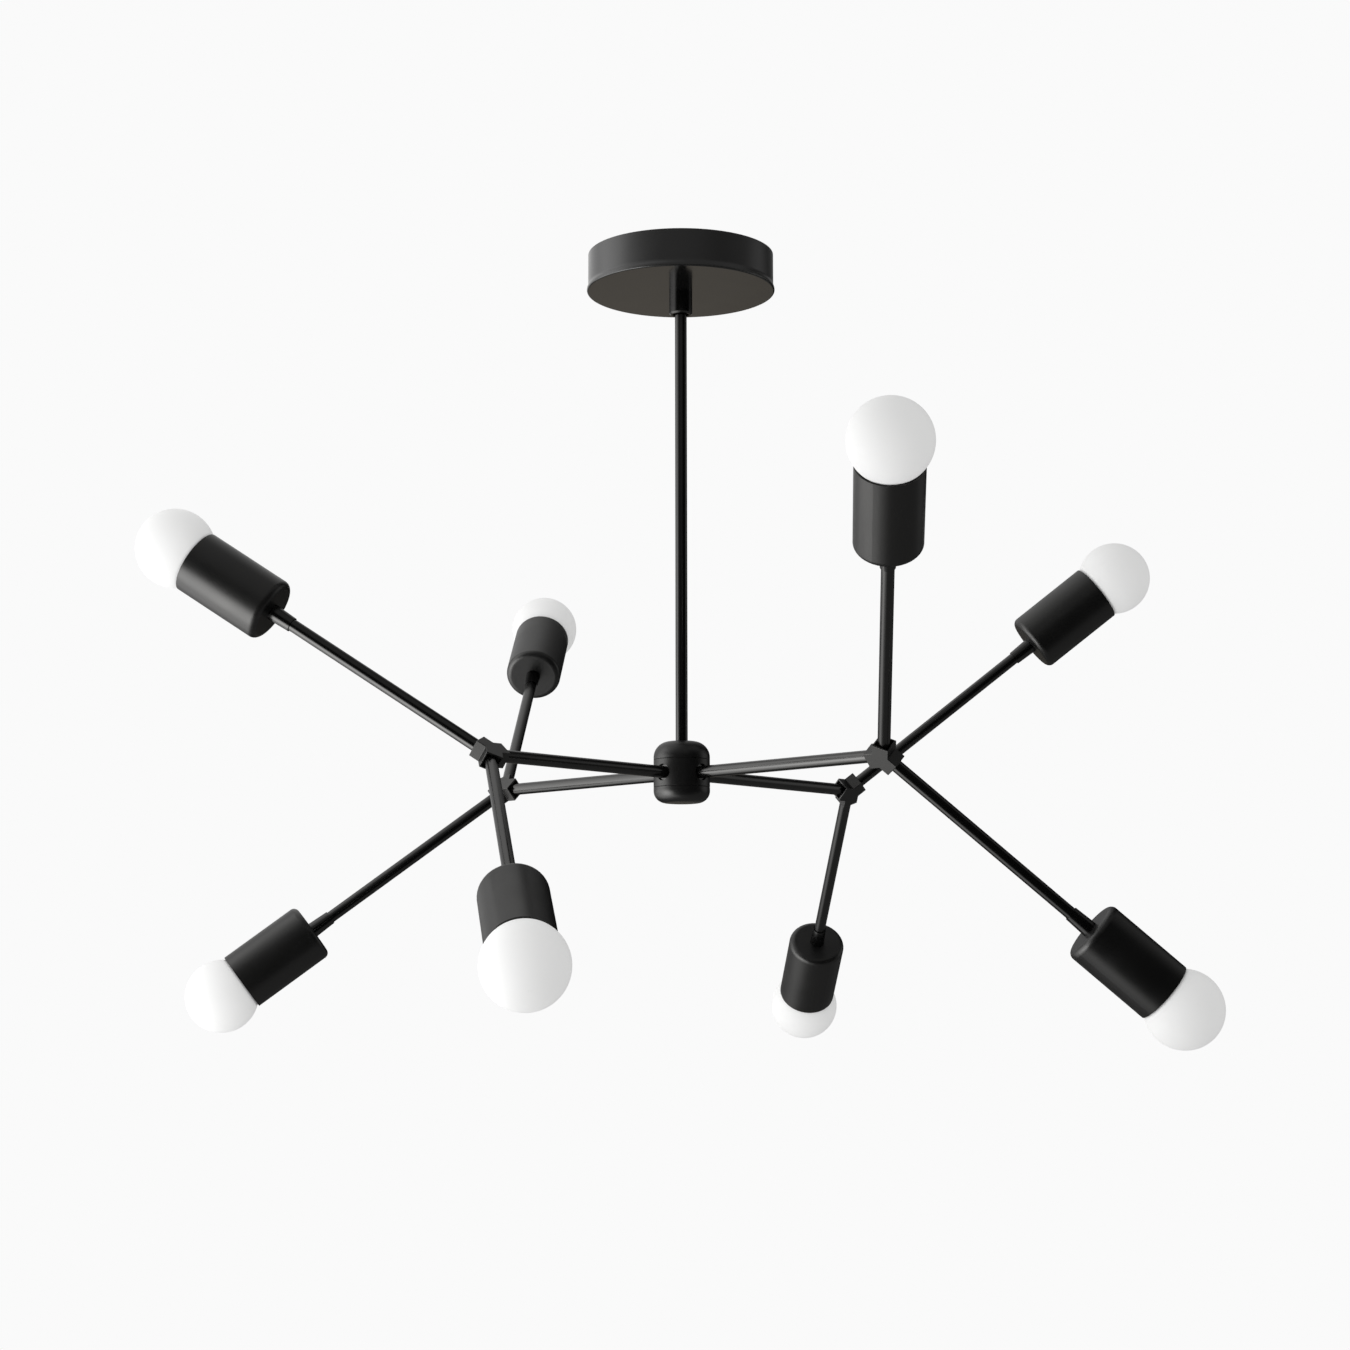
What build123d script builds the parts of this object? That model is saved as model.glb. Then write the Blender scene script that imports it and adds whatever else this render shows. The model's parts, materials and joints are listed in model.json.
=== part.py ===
from build123d import *
import os
from math import cos, radians, sin, sqrt, tan

# Geometric chandelier: a round ceiling canopy, one straight stem, a three-piece hub and four
# level arms. Each arm ends in a flat three-way block that carries two lamp branches, one
# raised and one lowered, and each branch ends in a cup with a globe bulb.
# Millimetres, +Z up. The origin is on the stem's axis at the ceiling, and the front is -Y.

# Tubes and the gaps between pieces
TUBE_DIAMETER = 8.0
TUBE_WALL = 1.0
FIT_GAP = 0.05
RUN_GAP = 0.05

# Canopy and its sliding collar
CANOPY_DIAMETER = 127.0
CANOPY_HEIGHT = 25.4
CANOPY_WALL = 1.2
CANOPY_EDGE_RADIUS = 1.0
CANOPY_FLARE = 0.9
CANOPY_FLARE_HEIGHT = 5.0
CANOPY_HOLE_GAP = 0.6
COLLAR_WALL = 3.7
COLLAR_HEIGHT = 15.6
COLLAR_CHAMFER = 1.0
COLLAR_MOUTH_GAP = 1.5
COLLAR_MOUTH_DEPTH = 6.0
SET_SCREW_DIAMETER = 3.0
SET_SCREW_DROP = 4.8
SET_SCREW_RECESS = 0.3
SET_SCREW_KEY = 1.5
SET_SCREW_KEY_DEPTH = 1.4

# Ceiling crossbar, with its nipple, coupling and ground screw
CROSSBAR_END_GAP = 3.45
CROSSBAR_WIDTH = 18.0
CROSSBAR_THICKNESS = 2.0
CROSSBAR_CORNER_RADIUS = 4.0
SLOT_LENGTH = 20.0
SLOT_WIDTH = 4.8
SLOT_END_MARGIN = 3.5
GROUND_SCREW_OFFSET = 20.0
GROUND_SCREW_DIAMETER = 4.0
GROUND_HEAD_DIAMETER = 8.0
GROUND_HEAD_HEIGHT = 2.4
GROUND_SLOT_WIDTH = 1.0
GROUND_SLOT_DEPTH = 1.0
COUPLING_WALL = 2.0
COUPLING_NUT_GAP = 3.0
COUPLING_FLOOR_GAP = 2.2
COUPLING_END_GAP = 0.6

# Lock nuts
NUT_WALL = 2.0
NUT_THICKNESS = 3.0
NUT_SPACE = 0.4
THREAD_PROUD = 0.5

# Hub: a dome above, a ring with four ports, and a dome below
STEM_DROP = 327.0
HUB_DIAMETER = 37.2
HUB_WALL = 5.45
TOP_CAP_HEIGHT = 12.2
TOP_CAP_RADIUS = 10.5
BOTTOM_CAP_HEIGHT = 10.2
BOTTOM_CAP_RADIUS = 8.0
CAP_WALL = 3.0
SPIGOT_WALL = 2.0
SPIGOT_LENGTH = 1.8
SPIGOT_NUT_GAP = 0.37
SEAM_CHAMFER = 0.25
PORT_GAP = 1.5
PORT_DEPTH = 2.85
PORT_WEB = 1.6
FLANGE_GAP = 0.4
FLANGE_THICKNESS = 1.0

# Arms: name, direction round the stem and turn about the arm's own axis, in degrees
ARM_ANGLES = {
    "back_right": (45.0, 45.5),
    "back_left": (135.0, 43.5),
    "front_left": (225.0, 39.5),
    "front_right": (315.0, 48.0),
}
ARM_REACH = 171.0
BRANCH_ANGLE = 60.0
BRANCH_TUBE_LENGTH = 152.4

# Three-way connector block
CONNECTOR_WALL = 1.6
CONNECTOR_SEAT_MARGIN = 1.3
CONNECTOR_INSERTION = 6.6
CONNECTOR_EDGE_RADIUS = 0.4
CONNECTOR_RIM = 1.0
CONNECTOR_MOUTH_DEPTH = 3.0

# Socket neck, cup, lamp holder and contacts
NECK_LENGTH = 15.0
NECK_INSERTION = 5.4
NECK_TIP_WALL = 0.7
NECK_BASE_WALL = 1.3
NECK_MOUTH_GAP = 0.35
NECK_MOUTH_DEPTH = 1.0
CUP_DIAMETER = 41.0
CUP_LENGTH = 59.5
CUP_WALL = 1.2
CUP_EDGE_RADIUS = 4.0
HOLDER_GAP = 0.4
HOLDER_RECESS = 19.0
SOCKET_DEPTH = 25.0
STUB_SHARE = 0.28
WIRE_HOLE_DIAMETER = 2.0
SHELL_GAP = 0.3
SHELL_WALL = 0.4
SHELL_LENGTH = 23.0
CONTACT_DIAMETER = 7.0
CONTACT_HEIGHT = 1.2
CONTACT_GAP = 0.3

# Globe bulb with a medium screw cap
BULB_DIAMETER = 50.0
BULB_MOUTH_GAP = 0.5
GLASS_WALL = 1.2
GLASS_FILLET = 10.0
GLASS_NECK_INSERTION = 6.0
THREAD_DIAMETER = 26.0
THREAD_DEPTH = 0.8
THREAD_PITCH = 3.629
THREAD_TURNS = 5
CAP_SKIN = 0.4
CAP_RIM_HEIGHT = 3.0
CAP_TIP_HEIGHT = 3.0
CAP_TIP_DIAMETER = 9.5

# Sizes that follow from the ones above
FROM_BASE = (Align.CENTER, Align.CENTER, Align.MIN)
CUT_OVERRUN = 1.0
tube_radius = TUBE_DIAMETER / 2
wire_radius = tube_radius - TUBE_WALL
canopy_radius = CANOPY_DIAMETER / 2
canopy_wall_radius = canopy_radius - CANOPY_FLARE
canopy_inner_radius = canopy_wall_radius - CANOPY_WALL
hub_radius = HUB_DIAMETER / 2
hub_z = -CANOPY_HEIGHT - STEM_DROP
nut_flats = TUBE_DIAMETER + 2 * NUT_WALL
nut_corner_radius = nut_flats / sqrt(3)
ring_half_height = nut_corner_radius + SPIGOT_NUT_GAP + SPIGOT_LENGTH
hub_bore_radius = hub_radius - HUB_WALL
cap_cavity_radius = hub_bore_radius - FIT_GAP - SPIGOT_WALL
hub_top_z = hub_z + ring_half_height + TOP_CAP_HEIGHT
hub_bottom_z = hub_z - ring_half_height - BOTTOM_CAP_HEIGHT
port_floor = hub_radius - PORT_DEPTH
nut_seat = port_floor - PORT_WEB
arm_nut_end = nut_seat - RUN_GAP
arm_nut_start = arm_nut_end - NUT_THICKNESS
coupling_bottom_z = CANOPY_WALL + COUPLING_FLOOR_GAP - CANOPY_HEIGHT
coupling_top_z = -CROSSBAR_THICKNESS - NUT_THICKNESS - COUPLING_NUT_GAP
coupling_middle_z = (coupling_bottom_z + coupling_top_z) / 2
half_angle_between_tubes = min(BRANCH_ANGLE, (180 - BRANCH_ANGLE) / 2)
tube_seat = tube_radius / tan(radians(half_angle_between_tubes)) + CONNECTOR_SEAT_MARGIN
connector_reach = tube_seat + CONNECTOR_INSERTION
connector_width = TUBE_DIAMETER + 2 * (FIT_GAP + CONNECTOR_WALL)
neck_start = tube_seat + BRANCH_TUBE_LENGTH - NECK_INSERTION
cup_back = neck_start + NECK_LENGTH
cup_floor = cup_back + CUP_WALL
cup_mouth = cup_back + CUP_LENGTH
cup_inner_radius = CUP_DIAMETER / 2 - CUP_WALL
holder_top = cup_mouth - HOLDER_RECESS
socket_floor = holder_top - SOCKET_DEPTH
stub_end = cup_floor + STUB_SHARE * (socket_floor - cup_floor)
thread_radius = THREAD_DIAMETER / 2
shell_inner_radius = thread_radius + SHELL_GAP
shell_outer_radius = shell_inner_radius + SHELL_WALL
cap_inner_radius = thread_radius - THREAD_DEPTH - CAP_SKIN
cap_start = socket_floor + CONTACT_HEIGHT + CONTACT_GAP
thread_start = cap_start + CAP_TIP_HEIGHT
thread_end = thread_start + THREAD_TURNS * THREAD_PITCH
cap_end = thread_end + CAP_RIM_HEIGHT
glass_radius = BULB_DIAMETER / 2
glass_neck_radius = cap_inner_radius - RUN_GAP
glass_start = cap_end - GLASS_NECK_INSERTION
mouth_section_radius = cup_inner_radius - BULB_MOUTH_GAP
glass_centre = cup_mouth + sqrt(glass_radius**2 - mouth_section_radius**2)


def rod(radius, start, end):
    """Solid cylinder on the Z axis from start to end."""
    return Pos(0, 0, start) * Cylinder(radius, end - start, align=FROM_BASE)


def pipe(outer_radius, inner_radius, start, end):
    """Hollow cylinder on the Z axis from start to end."""
    bore = rod(inner_radius, start - CUT_OVERRUN, end + CUT_OVERRUN)
    return rod(outer_radius, start, end) - bore


def taper(start_radius, end_radius, start, end):
    """Solid cone frustum on the Z axis from start to end."""
    return Pos(0, 0, start) * Cone(start_radius, end_radius, end - start, align=FROM_BASE)


def lowest(solid):
    """The outer edge at the low end of a turned solid."""
    return solid.edges().sort_by(Axis.Z)[0]


def highest(solid):
    """The outer edge at the high end of a turned solid."""
    return solid.edges().sort_by(Axis.Z)[-1]


def lock_nut(start):
    """Thin hexagon nut for the tube thread, standing on start."""
    outline = RegularPolygon(nut_flats / 2, 6, major_radius=False)
    outline -= Circle(tube_radius + FIT_GAP)
    return Pos(0, 0, start) * extrude(outline, NUT_THICKNESS)


def along_x(solid):
    """Turn a solid made along +Z so that it lies along +X."""
    return Rot(0, 90, 0) * solid


# Ceiling side
def ceiling_crossbar():
    """Flat bar against the ceiling box, with a slot at each end for the box screws."""
    length = 2 * (canopy_inner_radius - CROSSBAR_END_GAP)
    slot_place = (length - SLOT_LENGTH) / 2 - SLOT_END_MARGIN
    outline = RectangleRounded(length, CROSSBAR_WIDTH, CROSSBAR_CORNER_RADIUS)
    outline -= Circle(tube_radius + FIT_GAP)
    outline -= Pos(-slot_place, 0) * SlotOverall(SLOT_LENGTH, SLOT_WIDTH)
    outline -= Pos(slot_place, 0) * SlotOverall(SLOT_LENGTH, SLOT_WIDTH)
    outline -= Pos(-GROUND_SCREW_OFFSET, 0) * Circle(GROUND_SCREW_DIAMETER / 2 + FIT_GAP)
    return extrude(outline, -CROSSBAR_THICKNESS)


def ground_screw():
    """Slotted screw under the crossbar for the earth lead."""
    head_top = -CROSSBAR_THICKNESS
    head_bottom = head_top - GROUND_HEAD_HEIGHT
    screw = rod(GROUND_SCREW_DIAMETER / 2, head_bottom, 0)
    screw += rod(GROUND_HEAD_DIAMETER / 2, head_bottom, head_top)
    slot = Pos(0, 0, head_bottom) * Box(GROUND_HEAD_DIAMETER + CUT_OVERRUN, GROUND_SLOT_WIDTH,
                                        2 * GROUND_SLOT_DEPTH)
    return Pos(-GROUND_SCREW_OFFSET, 0, 0) * (screw - slot)


def stem_nipple():
    """Hollow threaded rod from the crossbar down into the coupling."""
    return pipe(tube_radius, wire_radius, coupling_middle_z + COUPLING_END_GAP, 0)


def stem_coupling():
    """Round threaded sleeve that joins the nipple and the stem inside the canopy."""
    inner_radius = tube_radius + FIT_GAP
    return pipe(inner_radius + COUPLING_WALL, inner_radius, coupling_bottom_z, coupling_top_z)


def lock_nuts():
    """The nut under the crossbar and the nut on the stem inside the hub."""
    under_crossbar = lock_nut(-CROSSBAR_THICKNESS - NUT_THICKNESS)
    inside_hub = lock_nut(hub_top_z - CAP_WALL - NUT_THICKNESS)
    return Compound(children=[under_crossbar, inside_hub])


def stem_tube():
    """Straight hollow stem from the coupling to the hub."""
    bottom = hub_top_z - CAP_WALL - NUT_THICKNESS - THREAD_PROUD
    return pipe(tube_radius, wire_radius, bottom, coupling_middle_z - COUPLING_END_GAP)


def canopy():
    """Shallow round pan with a slightly flared lower rim, open at the ceiling, with a hole for the stem."""
    rim_floor = (canopy_radius - CANOPY_EDGE_RADIUS, -CANOPY_HEIGHT)
    rim_side = (canopy_radius, CANOPY_EDGE_RADIUS - CANOPY_HEIGHT)
    flare_top = (canopy_wall_radius, CANOPY_FLARE_HEIGHT - CANOPY_HEIGHT)
    flare_middle = ((rim_side[0] + flare_top[0]) / 2, (rim_side[1] + flare_top[1]) / 2)
    profile = Polyline((0, -CANOPY_HEIGHT), rim_floor)
    profile += TangentArc(rim_floor, rim_side, tangent=(1, 0))
    profile += TangentArc(rim_side, flare_middle, tangent=(0, 1))
    profile += TangentArc(flare_top, flare_middle, tangent=(0, -1))
    profile += Polyline(flare_top, (canopy_wall_radius, 0), (0, 0), (0, -CANOPY_HEIGHT))
    pan = revolve(Plane.XZ * make_face(profile), Axis.Z)
    pan -= rod(canopy_inner_radius, CANOPY_WALL - CANOPY_HEIGHT, CUT_OVERRUN)
    return pan - rod(tube_radius + CANOPY_HOLE_GAP, -CANOPY_HEIGHT - CUT_OVERRUN, 0)


def set_screw_axis(solid):
    """Put a solid made along +Z on the set screw's axis, pointing to the back."""
    return Pos(0, 0, -CANOPY_HEIGHT - SET_SCREW_DROP) * Rot(-90, 0, 0) * solid


def canopy_collar():
    """Slip collar that holds the canopy up, with a wider mouth round the stem below."""
    top = -CANOPY_HEIGHT
    bottom = top - COLLAR_HEIGHT
    outer_radius = tube_radius + RUN_GAP + COLLAR_WALL
    collar = rod(outer_radius, bottom, top)
    collar = chamfer(lowest(collar), COLLAR_CHAMFER)
    collar -= rod(tube_radius + RUN_GAP, bottom - CUT_OVERRUN, top + CUT_OVERRUN)
    collar -= rod(tube_radius + COLLAR_MOUTH_GAP, bottom - CUT_OVERRUN, bottom + COLLAR_MOUTH_DEPTH)
    return collar - set_screw_axis(rod(SET_SCREW_DIAMETER / 2 + FIT_GAP, 0, outer_radius + CUT_OVERRUN))


def collar_set_screw():
    """Headless screw in the back of the collar that grips the stem."""
    tip = tube_radius + RUN_GAP
    end = tip + COLLAR_WALL - SET_SCREW_RECESS
    screw = rod(SET_SCREW_DIAMETER / 2, tip, end)
    key = extrude(RegularPolygon(SET_SCREW_KEY / 2, 6, major_radius=False), SET_SCREW_KEY_DEPTH)
    return set_screw_axis(screw - Pos(0, 0, end - SET_SCREW_KEY_DEPTH) * key)


# Hub
def hub_cap(height, edge_radius):
    """Domed cap on z = 0 with a short spigot below, made as a top cap."""
    dome = rod(hub_radius, 0, height)
    dome = fillet(highest(dome), min(edge_radius, height - 2 * SEAM_CHAMFER))
    dome = chamfer(lowest(dome), SEAM_CHAMFER)
    dome += rod(hub_bore_radius - FIT_GAP, -SPIGOT_LENGTH, 0)
    return dome - rod(cap_cavity_radius, -SPIGOT_LENGTH - CUT_OVERRUN, height - CAP_WALL)


def hub_top_cap():
    """Upper dome, with the hole that the stem passes through."""
    cap = hub_cap(TOP_CAP_HEIGHT, TOP_CAP_RADIUS)
    cap -= rod(tube_radius + FIT_GAP, 0, TOP_CAP_HEIGHT + CUT_OVERRUN)
    return Pos(0, 0, hub_z + ring_half_height) * cap


def hub_bottom_cap():
    """Lower dome, closed underneath."""
    cap = hub_cap(BOTTOM_CAP_HEIGHT, BOTTOM_CAP_RADIUS)
    return Pos(0, 0, hub_z - ring_half_height) * Rot(180, 0, 0) * cap


def hub_ring():
    """Middle ring with a port for each arm, wider outside and with a flat nut seat inside."""
    ring = rod(hub_radius, -ring_half_height, ring_half_height)
    ring = chamfer([lowest(ring), highest(ring)], SEAM_CHAMFER)
    ring -= rod(hub_bore_radius, -ring_half_height - CUT_OVERRUN, ring_half_height + CUT_OVERRUN)
    port = rod(tube_radius + RUN_GAP, 0, hub_radius + CUT_OVERRUN)
    port += rod(tube_radius + PORT_GAP, port_floor, hub_radius + CUT_OVERRUN)
    port += rod(nut_corner_radius + NUT_SPACE, 0, nut_seat)
    for azimuth, _ in ARM_ANGLES.values():
        ring -= Rot(0, 0, azimuth) * along_x(port)
    return Pos(0, 0, hub_z) * ring


# Arms, made along +Z outwards from the stem's axis, with the branches in the XZ plane
def arm_tube():
    """Hollow arm with a thin flange that seats in the hub's port."""
    end = ARM_REACH - tube_seat
    flange_start = port_floor + RUN_GAP
    flange_radius = tube_radius + PORT_GAP - FLANGE_GAP
    arm = rod(tube_radius, arm_nut_start - THREAD_PROUD, end)
    arm += rod(flange_radius, flange_start, flange_start + FLANGE_THICKNESS)
    return arm - rod(wire_radius, 0, end + CUT_OVERRUN)


def connector():
    """Flat three-way block of square stubs with square mouths, drilled for the arm and the two branches."""
    outline = Sketch()
    mouth_width = connector_width - 2 * CONNECTOR_RIM
    mouth = Pos(0, 0, connector_reach - CONNECTOR_MOUTH_DEPTH) * Box(
        mouth_width, mouth_width, CONNECTOR_MOUTH_DEPTH + CUT_OVERRUN, align=FROM_BASE)
    bores = []
    for turn in (0, 180 - BRANCH_ANGLE, 180 + BRANCH_ANGLE):
        stub = Pos(connector_reach / 2, 0) * Rectangle(connector_reach, connector_width)
        outline += Rot(0, 0, turn) * stub
        bore = rod(wire_radius, 0, connector_reach)
        bore += rod(tube_radius + FIT_GAP, tube_seat, connector_reach + CUT_OVERRUN)
        bores.append(Rot(0, 0, turn) * along_x(bore + mouth))
    block = extrude(outline, connector_width / 2, both=True)
    block = fillet(block.edges(), CONNECTOR_EDGE_RADIUS)
    for bore in bores:
        block -= bore
    return Plane((0, 0, ARM_REACH), x_dir=(0, 0, -1), z_dir=(0, 1, 0)).location * block


# Branch pieces, made along +Z outwards from the connector's centre
def branch_tube():
    """Hollow branch from the connector to the socket neck."""
    return pipe(tube_radius, wire_radius, tube_seat, tube_seat + BRANCH_TUBE_LENGTH)


def socket_neck():
    """Tapered ferrule behind the cup, with a threaded stub that goes into the lamp holder."""
    neck = taper(tube_radius + NECK_TIP_WALL, tube_radius + NECK_BASE_WALL, neck_start, cup_back)
    neck += rod(tube_radius, cup_back, stub_end)
    neck -= rod(tube_radius + FIT_GAP, neck_start - CUT_OVERRUN, neck_start + NECK_INSERTION)
    neck -= rod(tube_radius + NECK_MOUTH_GAP, neck_start - CUT_OVERRUN, neck_start + NECK_MOUTH_DEPTH)
    return neck - rod(wire_radius, neck_start, stub_end + CUT_OVERRUN)


def socket_cup():
    """Plain round cup with a rounded back edge and an open mouth."""
    outer = rod(CUP_DIAMETER / 2, cup_back, cup_mouth)
    outer = fillet(lowest(outer), CUP_EDGE_RADIUS)
    inner = rod(cup_inner_radius, cup_floor, cup_mouth + CUT_OVERRUN)
    inner = fillet(lowest(inner), CUP_EDGE_RADIUS - CUP_WALL)
    return outer - inner - rod(tube_radius + FIT_GAP, cup_back - CUT_OVERRUN, cup_floor + CUT_OVERRUN)


def lamp_holder():
    """Insulating body that fills the cup behind the bulb and carries the contacts."""
    holder = rod(cup_inner_radius - HOLDER_GAP, cup_floor, holder_top)
    holder = chamfer(lowest(holder), CUP_EDGE_RADIUS - CUP_WALL)
    holder -= rod(shell_outer_radius + FIT_GAP, socket_floor, holder_top + CUT_OVERRUN)
    holder -= rod(tube_radius + FIT_GAP, cup_floor - CUT_OVERRUN, stub_end + FIT_GAP)
    wire_hole = rod(WIRE_HOLE_DIAMETER / 2, cup_floor, socket_floor + CUT_OVERRUN)
    wire_place = wire_radius - WIRE_HOLE_DIAMETER / 2
    return holder - Pos(wire_place, 0, 0) * wire_hole - Pos(-wire_place, 0, 0) * wire_hole


def screw_shell():
    """Plain metal sleeve round the bulb's screw cap."""
    return pipe(shell_outer_radius, shell_inner_radius, socket_floor, socket_floor + SHELL_LENGTH)


def centre_contact():
    """Round contact button on the floor of the lamp holder."""
    return rod(CONTACT_DIAMETER / 2, socket_floor, socket_floor + CONTACT_HEIGHT)


def bulb_cap():
    """Screw cap: a tapered tip, rounded thread rings and a plain rim, hollow for the glass."""
    root_radius = thread_radius - THREAD_DEPTH
    profile = Polyline((0, cap_start), (CAP_TIP_DIAMETER / 2, cap_start), (root_radius, thread_start))
    for turn in range(THREAD_TURNS):
        low = thread_start + turn * THREAD_PITCH
        profile += ThreePointArc((root_radius, low), (thread_radius, low + THREAD_PITCH / 2),
                                 (root_radius, low + THREAD_PITCH))
    profile += Polyline((root_radius, thread_end), (thread_radius, thread_end), (thread_radius, cap_end),
                        (0, cap_end), (0, cap_start))
    cap = revolve(Plane.XZ * make_face(profile), Axis.Z)
    return cap - rod(cap_inner_radius, thread_start, cap_end + CUT_OVERRUN)


def glass_form(neck_radius, ball_radius, fillet_radius):
    """Solid globe on a straight neck, joined by a hollow curve that is tangent to both."""
    reach = ball_radius + fillet_radius
    rise = neck_radius + fillet_radius
    run = sqrt(reach**2 - rise**2)
    share = ball_radius / reach
    curve_start = (neck_radius, glass_centre - run)
    curve_end = (share * rise, glass_centre - share * run)
    ball_side = (ball_radius, glass_centre)
    ball_end = (0, glass_centre + ball_radius)
    profile = Polyline((0, glass_start), (neck_radius, glass_start), curve_start)
    profile += TangentArc(curve_start, curve_end, tangent=(0, 1))
    profile += ThreePointArc(curve_end, ball_side, ball_end)
    profile += Line(ball_end, (0, glass_start))
    return revolve(Plane.XZ * make_face(profile), Axis.Z)


def bulb_globe():
    """Thin opal glass globe, open at the end of its neck."""
    outer = glass_form(glass_neck_radius, glass_radius, GLASS_FILLET)
    inner = glass_form(glass_neck_radius - GLASS_WALL, glass_radius - GLASS_WALL, GLASS_FILLET + GLASS_WALL)
    return outer - inner


# Places of the arms and branches
def arm_place(azimuth, turn):
    """Arm frame: +Z out along the arm, +X towards the raised branch."""
    outward = Vector(cos(radians(azimuth)), sin(radians(azimuth)), 0)
    sideways = Vector(sin(radians(azimuth)), -cos(radians(azimuth)), 0)
    raised = sideways * cos(radians(turn)) + Vector(0, 0, sin(radians(turn)))
    return Plane((0, 0, hub_z), x_dir=raised, z_dir=outward).location


def branch_place(side):
    """Branch frame within the arm frame, on the raised side (1) or the lowered side (-1)."""
    direction = (side * sin(radians(BRANCH_ANGLE)), 0, cos(radians(BRANCH_ANGLE)))
    return Plane((0, 0, ARM_REACH), x_dir=(0, 1, 0), z_dir=direction).location


SIDES = {"upper": 1, "lower": -1}
BRANCH_PIECES = {
    "branch_tubes": [branch_tube()],
    "socket_necks": [socket_neck()],
    "socket_cups": [socket_cup()],
    "lamp_holders": [lamp_holder()],
    "socket_contacts": [screw_shell(), centre_contact()],
}
BULB_PIECES = {"bulb_globe": bulb_globe(), "bulb_cap": bulb_cap()}

nodes = {
    "ceiling_crossbar": ceiling_crossbar(),
    "ground_screw": ground_screw(),
    "stem_nipple": stem_nipple(),
    "stem_coupling": stem_coupling(),
    "lock_nuts": lock_nuts(),
    "stem_tube": stem_tube(),
    "canopy": canopy(),
    "canopy_collar": canopy_collar(),
    "collar_set_screw": collar_set_screw(),
    "hub_top_cap": hub_top_cap(),
    "hub_ring": hub_ring(),
    "hub_bottom_cap": hub_bottom_cap(),
}
arm_pieces = {"arm_tube": arm_tube(), "arm_lock_nut": lock_nut(arm_nut_start), "connector": connector()}
for arm, (azimuth, turn) in ARM_ANGLES.items():
    place = arm_place(azimuth, turn)
    for piece, solid in arm_pieces.items():
        nodes[f"{arm}_{piece}"] = place * solid
    for piece, solids in BRANCH_PIECES.items():
        pair = [place * branch_place(side) * solid for side in SIDES.values() for solid in solids]
        nodes[f"{arm}_{piece}"] = Compound(children=pair)
    for side_name, side in SIDES.items():
        for piece, solid in BULB_PIECES.items():
            nodes[f"{arm}_{side_name}_{piece}"] = place * branch_place(side) * solid

os.makedirs("parts", exist_ok=True)
for name, shape in nodes.items():
    export_step(shape, f"parts/{name}.step")
print(len(nodes), "nodes; hub centre at z =", round(hub_z, 2), "; bulb centre", round(glass_centre, 2),
      "from the connector; cup mouth", round(cup_mouth, 2))
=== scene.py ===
import bmesh
import bpy
import json
from math import cos, pi, radians, sin
from mathutils import Matrix, Vector


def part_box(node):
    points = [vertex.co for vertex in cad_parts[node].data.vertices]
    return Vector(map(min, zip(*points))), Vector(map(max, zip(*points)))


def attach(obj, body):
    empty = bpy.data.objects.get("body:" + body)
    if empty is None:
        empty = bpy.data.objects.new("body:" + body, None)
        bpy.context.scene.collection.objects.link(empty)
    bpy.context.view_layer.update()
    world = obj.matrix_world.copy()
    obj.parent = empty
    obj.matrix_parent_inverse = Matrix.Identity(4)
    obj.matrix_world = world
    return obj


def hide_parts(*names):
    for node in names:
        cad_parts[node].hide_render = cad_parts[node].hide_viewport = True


# Geometric chandelier: satin black metal, opal globe bulbs, and the plated fittings under the canopy
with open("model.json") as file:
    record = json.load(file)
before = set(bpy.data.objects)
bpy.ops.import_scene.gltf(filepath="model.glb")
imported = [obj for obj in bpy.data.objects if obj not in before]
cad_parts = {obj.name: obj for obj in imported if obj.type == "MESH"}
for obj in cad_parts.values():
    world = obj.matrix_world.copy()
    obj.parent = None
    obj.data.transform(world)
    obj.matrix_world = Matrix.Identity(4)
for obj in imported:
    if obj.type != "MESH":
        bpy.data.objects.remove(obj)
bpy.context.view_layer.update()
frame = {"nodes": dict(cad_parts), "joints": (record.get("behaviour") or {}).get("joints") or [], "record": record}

# Places that the frame gives
hub_low, hub_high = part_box("hub_ring")
hub_centre = (hub_low + hub_high) / 2
bulb_joints = [joint for joint in frame["joints"] if joint["name"].endswith("_bulb_unscrew")]

# Bulb cap, in metres, with its starts and ends measured along its axis from the connector's centre
CAP_START = 0.18261
CAP_END = 0.206755
CAP_BORE = 0.0118
CAP_HOLE_RADIUS = 0.0003
CAP_TIP_RADIUS = 0.00475
CAP_TIP_FLAT_SHARE = 0.8
CAP_BUTTON_HEIGHT = 0.0009
CAP_RIM_STEP = 0.0002
CAP_RIM_RISE = 0.0004
CAP_SIDES = 64
CAP_ROWS_PER_TURN = 10
THREAD_START = 0.18561
THREAD_PITCH = 0.003629
THREAD_TURNS = 5
THREAD_CREST = 0.013
THREAD_ROOT = 0.0122
THREAD_RUN_OUT_TURNS = 0.5

# Threaded nipple, in metres
NIPPLE_CREST = 0.004
NIPPLE_ROOT = 0.00355
NIPPLE_BORE = 0.003
NIPPLE_PITCH = 0.001
NIPPLE_SIDES = 48
NIPPLE_ROWS_PER_TURN = 8

# Edges of the turned pieces that bend by this much or more, in degrees, stay sharp
SHARP_BEND = 35

# Painted pieces of drawn or turned tube, which are smoother than the rest
SMOOTH_PIECES = ("canopy_collar", "stem_tube", "arm_tube", "branch_tubes", "socket_necks")

# Noise lies mostly between these two values
NOISE_SPAN = (0.3, 0.7)

# Black coats, with the share of their reflection that is left at grazing angles
COAT_PATCH_SCALE = 14.0
COAT_GLOSS_SCALE = 60.0
COAT_PEEL_SCALE = 700.0
COAT_PEEL_STRENGTH = 0.015
COAT_PEEL_DEPTH = 0.0003
COAT_LIGHT_TINT = (1.0, 0.985, 0.95)
COAT_EDGE_TINT = (0.68, 0.68, 0.68)

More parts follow.
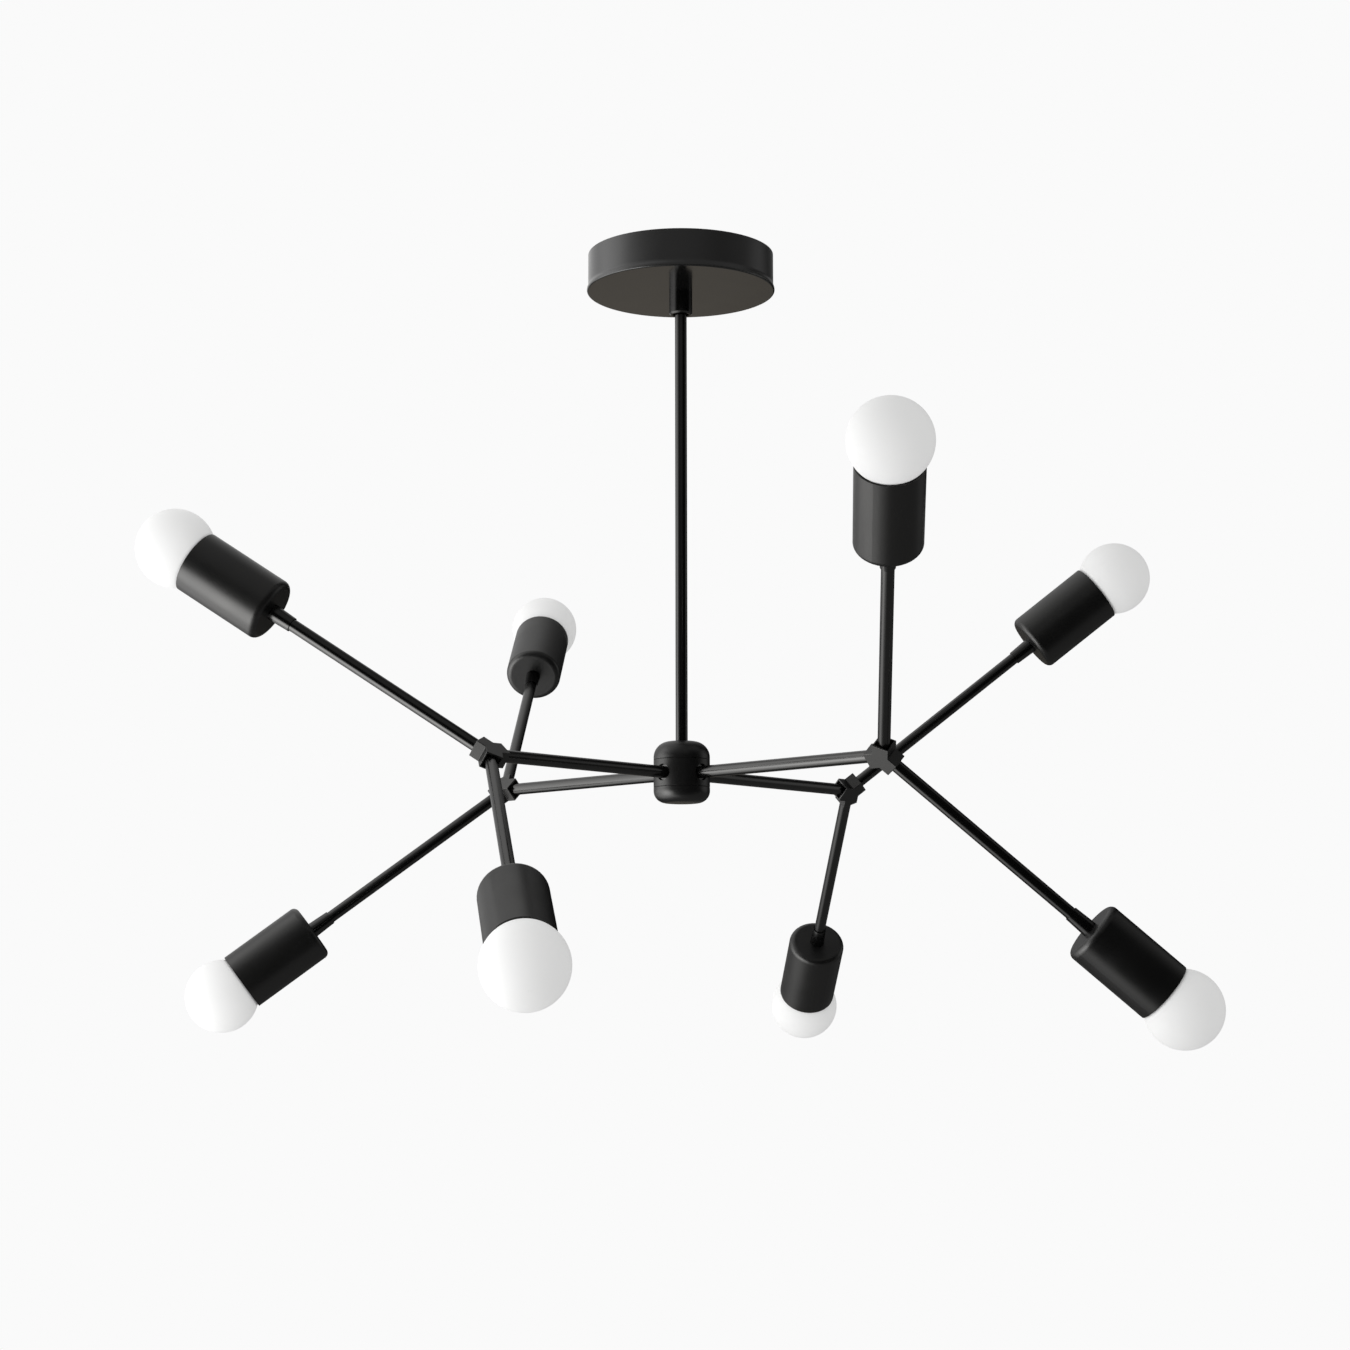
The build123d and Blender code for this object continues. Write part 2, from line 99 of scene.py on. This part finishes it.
# Coat of the canopy, whose flat face below is smoother than its side; the side is painted lighter and the face
# darker, as painted light and shade
CANOPY_SIDE_PAINTED_LIGHTER = (0.0145, 0.0143, 0.014)
CANOPY_FACE_PAINTED_DARKER = (0.0045, 0.0044, 0.0042)
CANOPY_ROUGHNESS = (0.3, 0.35)
CANOPY_FACE_ROUGHNESS_SHARE = 0.45

# Opal glass of the globes
GLASS_DARK = (0.86, 0.86, 0.855)
GLASS_LIGHT = (0.89, 0.89, 0.885)
GLASS_PATCH_SCALE = 25.0
GLASS_GLOSS_SCALE = 90.0
GLASS_ROUGHNESS = (0.55, 0.62)
GLASS_GLOSS = 0.05

# Metals by material slot: name, darker and lighter colour, lowest and highest roughness
METALS = {
    "zinc_plate": ("zinc_plate", (0.5, 0.51, 0.52), (0.66, 0.67, 0.68), 0.28, 0.42),
    "dark_screw": ("black_oxide_steel", (0.03, 0.03, 0.032), (0.05, 0.05, 0.052), 0.35, 0.48),
    "green_screw": ("green_dyed_zinc", (0.03, 0.22, 0.07), (0.06, 0.32, 0.11), 0.28, 0.4),
    "contact_brass": ("contact_brass", (0.66, 0.47, 0.19), (0.78, 0.58, 0.26), 0.25, 0.38),
    "cap_aluminium": ("cap_aluminium", (0.66, 0.66, 0.67), (0.78, 0.78, 0.79), 0.24, 0.36),
}
METAL_PATCH_SCALE = 120.0
METAL_STREAK_SCALE = 300.0
METAL_STREAK_STRETCH = (0.15, 4.0, 4.0)
METAL_STREAK_STRENGTH = 0.08
METAL_STREAK_DEPTH = 0.0001

# Moulded plastic of the lamp holders, and the black glass of the bulb caps
PLASTIC_PATCH_SCALE = 200.0
PLASTIC_GLOSS_SCALE = 80.0
PLASTIC_ROUGHNESS = (0.25, 0.35)
PLASTIC_GRAIN_SCALE = 1800.0
PLASTIC_GRAIN_STRENGTH = 0.04
PLASTIC_GRAIN_DEPTH = 0.0002

# Camera, set by the photograph, in metres, degrees and millimetres of lens
CAMERA_PLACE = (-0.0475, -1.7083, -0.5177)
CAMERA_YAW = -1.447
CAMERA_PITCH = 7.702
CAMERA_ROLL = 0.104
CAMERA_LENS = 69.34
SENSOR_WIDTH = 36.0

# Colour of the background, and strength of the even light all round
BACKGROUND = (0.956, 0.956, 0.956)
WORLD_LIGHT = 0.735

# Soft boxes: name, direction, distance, width and power
# A direction, here and below, is (turn from the right, rise above level) in degrees, seen from the hub
LAMPS = [
    ("key", (188.0, -24.0), 0.95, 1.3, 6.0),
    ("fill", (165.0, 45.0), 1.0, 1.0, 2.0),
    ("side", (228.0, -6.0), 0.75, 0.5, 0.6),
]

# Studio cloth, with the direction, inner and outer angle of its opening
TENT_RADIUS = 1.75
TENT_SEGMENTS = 48
TENT_RINGS = 24
TENT_OPENING = ((155.0, 35.0), 30.0, 72.0)

# Pale patches on the cloth: direction, inner and outer angle, strength and colour
TENT_NEUTRAL = (1.0, 1.0, 1.0)
TENT_WARM = (1.0, 0.91, 0.78)
TENT_GLOWS = [
    ((178.0, -24.0), 15.0, 50.0, 2.8, TENT_NEUTRAL),
    ((200.0, -26.0), 10.0, 28.0, 3.2, TENT_NEUTRAL),
    ((175.0, 30.0), 8.0, 26.0, 1.4, TENT_NEUTRAL),
    ((217.0, -62.0), 2.0, 22.0, 0.95, TENT_NEUTRAL),
    ((100.0, 50.0), 4.0, 48.0, 0.52, TENT_NEUTRAL),
    ((16.0, 10.0), 2.0, 28.0, 0.65, TENT_NEUTRAL),
    ((40.0, -56.0), 40.0, 60.0, 0.19, TENT_NEUTRAL),
    ((90.0, -7.0), 4.0, 14.0, 0.27, TENT_WARM),
    ((270.0, 48.0), 18.0, 42.0, 0.22, TENT_NEUTRAL),
    ((345.0, 48.0), 5.0, 26.0, 0.3, TENT_NEUTRAL),
]

# Floor, which grows clear between the start of its fade and its rim
FLOOR_HEIGHT = -2.3
FLOOR_RADIUS = 5.0
FLOOR_SIDES = 96
FLOOR_FADE_START = 0.6
FLOOR_DARK = (0.91, 0.91, 0.91)
FLOOR_LIGHT = (0.93, 0.93, 0.93)
FLOOR_PATCH_SCALE = 3.0
FLOOR_ROUGHNESS = 0.8


# Helpers for materials
def start_material(name):
    """A new material with its node tree, its shader and the object's own coordinates."""
    material = bpy.data.materials.new(name)
    material.use_nodes = True
    tree = material.node_tree
    shader = tree.nodes["Principled BSDF"]
    coordinates = tree.nodes.new("ShaderNodeTexCoord").outputs["Object"]
    return material, tree, shader, coordinates


def noise(tree, coordinates, scale, detail, stretch=None):
    """Noise in the object's frame, with an optional stretch along its axes."""
    if stretch:
        mapping = tree.nodes.new("ShaderNodeMapping")
        mapping.inputs["Scale"].default_value = stretch
        tree.links.new(coordinates, mapping.inputs["Vector"])
        coordinates = mapping.outputs["Vector"]
    node = tree.nodes.new("ShaderNodeTexNoise")
    node.inputs["Scale"].default_value = scale
    node.inputs["Detail"].default_value = detail
    tree.links.new(coordinates, node.inputs["Vector"])
    return node.outputs["Fac"]


def vary_number(tree, factor, socket, low, high):
    """Let a number go from low to high as a factor crosses the span of a noise."""
    node = tree.nodes.new("ShaderNodeMapRange")
    node.inputs["From Min"].default_value = NOISE_SPAN[0]
    node.inputs["From Max"].default_value = NOISE_SPAN[1]
    node.inputs["To Min"].default_value = low
    node.inputs["To Max"].default_value = high
    tree.links.new(factor, node.inputs["Value"])
    tree.links.new(node.outputs["Result"], socket)


def vary_colour(tree, factor, socket, first, second):
    """Let a colour go from the first to the second as a factor goes from 0 to 1."""
    node = tree.nodes.new("ShaderNodeMix")
    node.data_type = "RGBA"
    ends = [end for end in node.inputs if end.type == "RGBA"]
    ends[0].default_value = (*first, 1.0)
    ends[1].default_value = (*second, 1.0)
    tree.links.new(factor, node.inputs["Factor"])
    mixed = [end for end in node.outputs if end.type == "RGBA"]
    tree.links.new(mixed[0], socket)


def add_bump(tree, shader, height, strength, distance):
    """Raise the surface by a noise."""
    node = tree.nodes.new("ShaderNodeBump")
    node.inputs["Strength"].default_value = strength
    node.inputs["Distance"].default_value = distance
    tree.links.new(height, node.inputs["Height"])
    tree.links.new(node.outputs["Normal"], shader.inputs["Normal"])


# Materials
def orange_peel(tree, shader, place):
    """Fine waviness of a sprayed coat."""
    peel = noise(tree, place, COAT_PEEL_SCALE, detail=2.0)
    add_bump(tree, shader, peel, COAT_PEEL_STRENGTH, COAT_PEEL_DEPTH)


def satin_black(name, dark, light, rough_low, rough_high, metal):
    """Black coat with a dark metallic sheen, orange peel and slightly uneven gloss."""
    material, tree, shader, place = start_material(name)
    darker = (dark, dark, dark)
    lighter = [light * share for share in COAT_LIGHT_TINT]
    patches = noise(tree, place, COAT_PATCH_SCALE, detail=3.0)
    vary_colour(tree, patches, shader.inputs["Base Color"], darker, lighter)
    unevenness = noise(tree, place, COAT_GLOSS_SCALE, detail=3.0)
    vary_number(tree, unevenness, shader.inputs["Roughness"], rough_low, rough_high)
    shader.inputs["Metallic"].default_value = metal
    shader.inputs["Specular Tint"].default_value = (*COAT_EDGE_TINT, 1.0)
    orange_peel(tree, shader, place)
    return material


def canopy_black():
    """Canopy coat: satin on the rolled side and smoother on the flat face below, with the side painted lighter and
    the face darker as painted light and shade.
    """
    material, tree, shader, place = start_material("canopy_black_paint")
    down = tree.nodes.new("ShaderNodeVectorMath")
    down.operation = "DOT_PRODUCT"
    down.inputs[1].default_value = (0.0, 0.0, -1.0)
    tree.links.new(tree.nodes.new("ShaderNodeTexCoord").outputs["Normal"], down.inputs[0])
    facing_down = down.outputs["Value"]
    # Painted light and shade: the side gets a lighter colour and the flat face below a darker one, by the way each
    # faces
    vary_colour(tree, facing_down, shader.inputs["Base Color"], CANOPY_SIDE_PAINTED_LIGHTER, CANOPY_FACE_PAINTED_DARKER)
    roughness = tree.nodes.new("ShaderNodeMath")
    roughness.operation = "MULTIPLY"
    unevenness = noise(tree, place, COAT_GLOSS_SCALE, detail=3.0)
    vary_number(tree, unevenness, roughness.inputs[0], *CANOPY_ROUGHNESS)
    vary_number(tree, facing_down, roughness.inputs[1], 1.0, CANOPY_FACE_ROUGHNESS_SHARE)
    tree.links.new(roughness.outputs["Value"], shader.inputs["Roughness"])
    orange_peel(tree, shader, place)
    return material


def opal_glass():
    """Opal globe glass: white all through, with hardly any gloss."""
    material, tree, shader, place = start_material("opal_white_glass")
    patches = noise(tree, place, GLASS_PATCH_SCALE, detail=2.0)
    vary_colour(tree, patches, shader.inputs["Base Color"], GLASS_DARK, GLASS_LIGHT)
    unevenness = noise(tree, place, GLASS_GLOSS_SCALE, detail=2.0)
    vary_number(tree, unevenness, shader.inputs["Roughness"], *GLASS_ROUGHNESS)
    shader.inputs["Specular IOR Level"].default_value = GLASS_GLOSS
    return material


def plated_metal(name, dark, light, rough_low, rough_high):
    """Plated or bare metal with fine drawn streaks."""
    material, tree, shader, place = start_material(name)
    shader.inputs["Metallic"].default_value = 1.0
    patches = noise(tree, place, METAL_PATCH_SCALE, detail=3.0)
    vary_colour(tree, patches, shader.inputs["Base Color"], dark, light)
    streaks = noise(tree, place, METAL_STREAK_SCALE, detail=3.0, stretch=METAL_STREAK_STRETCH)
    vary_number(tree, streaks, shader.inputs["Roughness"], rough_low, rough_high)
    add_bump(tree, shader, streaks, METAL_STREAK_STRENGTH, METAL_STREAK_DEPTH)
    return material


def moulded_plastic(name, dark, light):
    """Black moulding with a fine grain."""
    material, tree, shader, place = start_material(name)
    patches = noise(tree, place, PLASTIC_PATCH_SCALE, detail=3.0)
    vary_colour(tree, patches, shader.inputs["Base Color"], dark, light)
    unevenness = noise(tree, place, PLASTIC_GLOSS_SCALE, detail=2.0)
    vary_number(tree, unevenness, shader.inputs["Roughness"], *PLASTIC_ROUGHNESS)
    grain = noise(tree, place, PLASTIC_GRAIN_SCALE, detail=2.0)
    add_bump(tree, shader, grain, PLASTIC_GRAIN_STRENGTH, PLASTIC_GRAIN_DEPTH)
    return material


materials = {slot: plated_metal(*recipe) for slot, recipe in METALS.items()}
materials["satin_black"] = satin_black(
    "satin_black_paint", dark=0.046, light=0.057, rough_low=0.33, rough_high=0.39, metal=0.925)
materials["opal_glass"] = opal_glass()
materials["holder_plastic"] = moulded_plastic(
    "black_phenolic", dark=(0.018, 0.017, 0.016), light=(0.03, 0.028, 0.026))
tube_black = satin_black(
    "smooth_black_paint", dark=0.052, light=0.062, rough_low=0.17, rough_high=0.21, metal=0.96)
cap_glass = moulded_plastic(
    "black_cap_glass", dark=(0.01, 0.01, 0.012), light=(0.016, 0.016, 0.018))

for part in frame["record"]["subparts"]:
    node = frame["nodes"][part["node"]]
    node.data.materials.clear()
    node.data.materials.append(materials[part["material_slot"]])
for name, node in frame["nodes"].items():
    if name.endswith(SMOOTH_PIECES):
        node.data.materials[0] = tube_black
frame["nodes"]["canopy"].data.materials[0] = canopy_black()


# Turned pieces with a real screw thread
def ramp(value, start, end):
    """Straight rise from 0 at start to 1 at end."""
    return max(0.0, min(1.0, (value - start) / (end - start)))


def thread_wave(turns):
    """Rounded thread form: 0 at the root and 1 at the crest."""
    return 0.5 - 0.5 * cos(2 * pi * turns)


def turned_mesh(name, outline, pitch, crest, sides):
    """Turn an outline of (radius, height, thread share) about Z, with a thread where it has a share."""
    mesh = bpy.data.meshes.new(name)
    shape = bmesh.new()
    rings = []
    for radius, height, share in outline:
        ring = []
        for step in range(sides):
            turn = step / sides
            depth = share * (crest - radius) * thread_wave(height / pitch - turn)
            reach = radius + depth
            angle = 2 * pi * turn
            ring.append(shape.verts.new((reach * cos(angle), reach * sin(angle), height)))
        rings.append(ring)
    for low, high in zip(rings, rings[1:] + rings[:1]):
        for step in range(sides):
            after = (step + 1) % sides
            shape.faces.new((low[step], low[after], high[after], high[step]))
    bmesh.ops.recalc_face_normals(shape, faces=shape.faces)
    for face in shape.faces:
        face.smooth = True
    for edge in shape.edges:
        edge.smooth = edge.calc_face_angle(0.0) < radians(SHARP_BEND)
    shape.to_mesh(mesh)
    shape.free()
    return mesh


def thread_rows(start, end, root, pitch, rows_per_turn, run_out):
    """Outline rows of a threaded stretch, with the thread running out at both ends."""
    count = round((end - start) / pitch * rows_per_turn)
    rows = []
    for row in range(count + 1):
        height = start + (end - start) * row / count
        share = ramp(height, start, start + run_out) * ramp(end - height, 0.0, run_out)
        rows.append((root, height, share))
    return rows


def nipple_piece():
    """Threaded nipple between the crossbar and the coupling."""
    low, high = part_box("stem_nipple")
    outline = [(NIPPLE_BORE, low.z, 0.0)]
    outline += thread_rows(
        low.z, high.z, NIPPLE_ROOT, NIPPLE_PITCH, NIPPLE_ROWS_PER_TURN, run_out=NIPPLE_PITCH)
    outline += [(NIPPLE_BORE, high.z, 0.0)]
    mesh = turned_mesh("stem_nipple_thread", outline, NIPPLE_PITCH, NIPPLE_CREST, NIPPLE_SIDES)
    mesh.materials.append(materials["zinc_plate"])
    piece = bpy.data.objects.new("stem_nipple_thread", mesh)
    bpy.context.scene.collection.objects.link(piece)
    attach(piece, "fixed_frame")
    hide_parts("stem_nipple")


def cap_mesh():
    """Bulb cap made along +Z: contact button, black glass, screw thread and plain rim."""
    thread_end = THREAD_START + THREAD_TURNS * THREAD_PITCH
    run_out = THREAD_RUN_OUT_TURNS * THREAD_PITCH
    button_end = CAP_START + CAP_BUTTON_HEIGHT
    rim_radius = THREAD_CREST - CAP_RIM_STEP
    outline = [(CAP_HOLE_RADIUS, THREAD_START, 0.0)]
    outline += [(CAP_HOLE_RADIUS, CAP_START, 0.0)]
    outline += [(CAP_TIP_FLAT_SHARE * CAP_TIP_RADIUS, CAP_START, 0.0)]
    outline += [(CAP_TIP_RADIUS, button_end, 0.0)]
    outline += thread_rows(
        THREAD_START, thread_end, THREAD_ROOT, THREAD_PITCH, CAP_ROWS_PER_TURN, run_out)
    outline += [(rim_radius, thread_end + CAP_RIM_RISE, 0.0)]
    outline += [(rim_radius, CAP_END, 0.0)]
    outline += [(CAP_BORE, CAP_END, 0.0)]
    outline += [(CAP_BORE, THREAD_START, 0.0)]
    mesh = turned_mesh("bulb_cap_thread", outline, THREAD_PITCH, THREAD_CREST, CAP_SIDES)
    mesh.materials.append(materials["cap_aluminium"])
    mesh.materials.append(cap_glass)
    for face in mesh.polygons:
        if button_end < face.center.z < THREAD_START:
            face.material_index = 1
    return mesh


def cap_pieces():
    """A threaded cap on every bulb, along the axis that the bulb unscrews on."""
    mesh = cap_mesh()
    for joint in bulb_joints:
        bulb = joint["name"].removesuffix("_bulb_unscrew")
        piece = bpy.data.objects.new(f"{bulb}_cap_thread", mesh)
        bpy.context.scene.collection.objects.link(piece)
        turned = Vector(joint["axis"]).to_track_quat("Z", "Y").to_matrix().to_4x4()
        piece.matrix_world = Matrix.Translation(joint["pos_m"]) @ turned
        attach(piece, f"{bulb}_cap")
        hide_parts(f"{bulb}_bulb_cap")


nipple_piece()
cap_pieces()


# Stage, light and camera
def floor():
    """Plain pale floor well below the fixture, which fades into the background."""
    mesh = bpy.data.meshes.new("floor")
    shape = bmesh.new()
    bmesh.ops.create_circle(shape, cap_ends=True, segments=FLOOR_SIDES, radius=FLOOR_RADIUS)
    shape.to_mesh(mesh)
    shape.free()
    material, tree, shader, place = start_material("pale_floor")
    patches = noise(tree, place, FLOOR_PATCH_SCALE, detail=2.0)
    vary_colour(tree, patches, shader.inputs["Base Color"], FLOOR_DARK, FLOOR_LIGHT)
    shader.inputs["Roughness"].default_value = FLOOR_ROUGHNESS
    reach = tree.nodes.new("ShaderNodeVectorMath")
    reach.operation = "LENGTH"
    tree.links.new(place, reach.inputs[0])
    fade = tree.nodes.new("ShaderNodeMapRange")
    fade.interpolation_type = "SMOOTHSTEP"
    fade.inputs["From Min"].default_value = FLOOR_FADE_START
    fade.inputs["From Max"].default_value = FLOOR_RADIUS
    tree.links.new(reach.outputs["Value"], fade.inputs["Value"])
    clear = tree.nodes.new("ShaderNodeBsdfTransparent")
    mix = tree.nodes.new("ShaderNodeMixShader")
    tree.links.new(fade.outputs["Result"], mix.inputs["Fac"])
    tree.links.new(shader.outputs["BSDF"], mix.inputs[1])
    tree.links.new(clear.outputs["BSDF"], mix.inputs[2])
    tree.links.new(mix.outputs["Shader"], tree.nodes["Material Output"].inputs["Surface"])
    mesh.materials.append(material)
    disc = bpy.data.objects.new("floor", mesh)
    disc.location.z = FLOOR_HEIGHT
    bpy.context.scene.collection.objects.link(disc)


def toward(direction):
    """Unit vector of a direction given as turn and rise."""
    turn, rise = (radians(angle) for angle in direction)
    return Vector((cos(rise) * cos(turn), cos(rise) * sin(turn), sin(rise)))


def soft_patch(tree, coordinates, direction, inner, outer, strength=1.0):
    """Round patch on the cloth: full strength within the inner angle, and 0 beyond the outer angle."""
    closeness = tree.nodes.new("ShaderNodeVectorMath")
    closeness.operation = "DOT_PRODUCT"
    closeness.inputs[1].default_value = toward(direction)
    tree.links.new(coordinates, closeness.inputs[0])
    soft = tree.nodes.new("ShaderNodeMapRange")
    soft.interpolation_type = "SMOOTHSTEP"
    soft.inputs["From Min"].default_value = cos(radians(outer))
    soft.inputs["From Max"].default_value = cos(radians(inner))
    soft.inputs["To Max"].default_value = strength
    tree.links.new(closeness.outputs["Value"], soft.inputs["Value"])
    return soft.outputs["Result"]


def tent():
    """Dark studio cloth round the fixture, open at the upper left, that only gloss shows."""
    mesh = bpy.data.meshes.new("tent")
    shape = bmesh.new()
    bmesh.ops.create_uvsphere(shape, u_segments=TENT_SEGMENTS, v_segments=TENT_RINGS, radius=1.0)
    shape.to_mesh(mesh)
    shape.free()
    material = bpy.data.materials.new("studio_cloth")
    material.use_nodes = True
    tree = material.node_tree
    tree.nodes.remove(tree.nodes["Principled BSDF"])
    coordinates = tree.nodes.new("ShaderNodeTexCoord").outputs["Object"]
    glow = tree.nodes.new("ShaderNodeEmission")
    colour = None
    for direction, inner, outer, strength, tint in TENT_GLOWS:
        tinted = tree.nodes.new("ShaderNodeVectorMath")
        tinted.operation = "SCALE"
        tinted.inputs[0].default_value = tint
        light = soft_patch(tree, coordinates, direction, inner, outer, strength)
        tree.links.new(light, tinted.inputs["Scale"])
        if colour:
            total = tree.nodes.new("ShaderNodeVectorMath")
            tree.links.new(colour, total.inputs[0])
            tree.links.new(tinted.outputs["Vector"], total.inputs[1])
            colour = total.outputs["Vector"]
        else:
            colour = tinted.outputs["Vector"]
    tree.links.new(colour, glow.inputs["Color"])
    gap = tree.nodes.new("ShaderNodeBsdfTransparent")
    tree.links.new(soft_patch(tree, coordinates, *TENT_OPENING), gap.inputs["Color"])
    both = tree.nodes.new("ShaderNodeAddShader")
    tree.links.new(glow.outputs["Emission"], both.inputs[0])
    tree.links.new(gap.outputs["BSDF"], both.inputs[1])
    tree.links.new(both.outputs["Shader"], tree.nodes["Material Output"].inputs["Surface"])
    mesh.materials.append(material)
    cloth = bpy.data.objects.new("tent", mesh)
    cloth.matrix_world = Matrix.Translation(hub_centre) @ Matrix.Scale(TENT_RADIUS, 4)
    cloth.visible_camera = False
    cloth.visible_diffuse = False
    cloth.visible_shadow = False
    cloth.visible_transmission = False
    bpy.context.scene.collection.objects.link(cloth)


def pale_world():
    """Soft even light, with a plain pale background behind the fixture and in its gloss."""
    world = bpy.data.worlds.new("studio")
    world.use_nodes = True
    tree = world.node_tree
    light = tree.nodes["Background"]
    light.inputs["Color"].default_value = (1.0, 1.0, 1.0, 1.0)
    light.inputs["Strength"].default_value = WORLD_LIGHT
    pale = tree.nodes.new("ShaderNodeBackground")
    pale.inputs["Color"].default_value = (*BACKGROUND, 1.0)
    pale.inputs["Strength"].default_value = 1.0
    path = tree.nodes.new("ShaderNodeLightPath")
    seen = path.outputs["Is Camera Ray"]
    for name in ("Is Glossy Ray", "Is Transmission Ray"):
        either = tree.nodes.new("ShaderNodeMath")
        either.operation = "MAXIMUM"
        tree.links.new(seen, either.inputs[0])
        tree.links.new(path.outputs[name], either.inputs[1])
        seen = either.outputs["Value"]
    mix = tree.nodes.new("ShaderNodeMixShader")
    tree.links.new(seen, mix.inputs["Fac"])
    tree.links.new(light.outputs["Background"], mix.inputs[1])
    tree.links.new(pale.outputs["Background"], mix.inputs[2])
    tree.links.new(mix.outputs["Shader"], tree.nodes["World Output"].inputs["Surface"])
    bpy.context.scene.world = world


def area_lamp(name, direction, distance, width, power):
    """Soft box that faces the hub, seen neither by the camera nor in gloss."""
    lamp = bpy.data.lights.new(name, "AREA")
    lamp.size = width
    lamp.energy = power
    lamp_object = bpy.data.objects.new(name, lamp)
    lamp_object.location = hub_centre + distance * toward(direction)
    lamp_object.rotation_euler = (-toward(direction)).to_track_quat("-Z", "Y").to_euler()
    lamp_object.visible_camera = False
    lamp_object.visible_glossy = False
    bpy.context.scene.collection.objects.link(lamp_object)


def camera():
    """Camera at the photograph's place, looking slightly up."""
    lens = bpy.data.cameras.new("camera")
    lens.sensor_width = SENSOR_WIDTH
    lens.lens = CAMERA_LENS
    camera_object = bpy.data.objects.new("camera", lens)
    aim = Matrix.Rotation(radians(CAMERA_YAW), 4, "Z")
    aim = aim @ Matrix.Rotation(radians(CAMERA_PITCH), 4, "X")
    aim = aim @ Matrix.Rotation(radians(CAMERA_ROLL), 4, "Y")
    # A camera looks straight down until it is turned level
    level = Matrix.Rotation(radians(90), 4, "X")
    camera_object.matrix_world = Matrix.Translation(CAMERA_PLACE) @ aim @ level
    bpy.context.scene.collection.objects.link(camera_object)
    bpy.context.scene.camera = camera_object


floor()
tent()
pale_world()
for lamp_values in LAMPS:
    area_lamp(*lamp_values)
camera()
bpy.context.scene.view_settings.view_transform = "Standard"
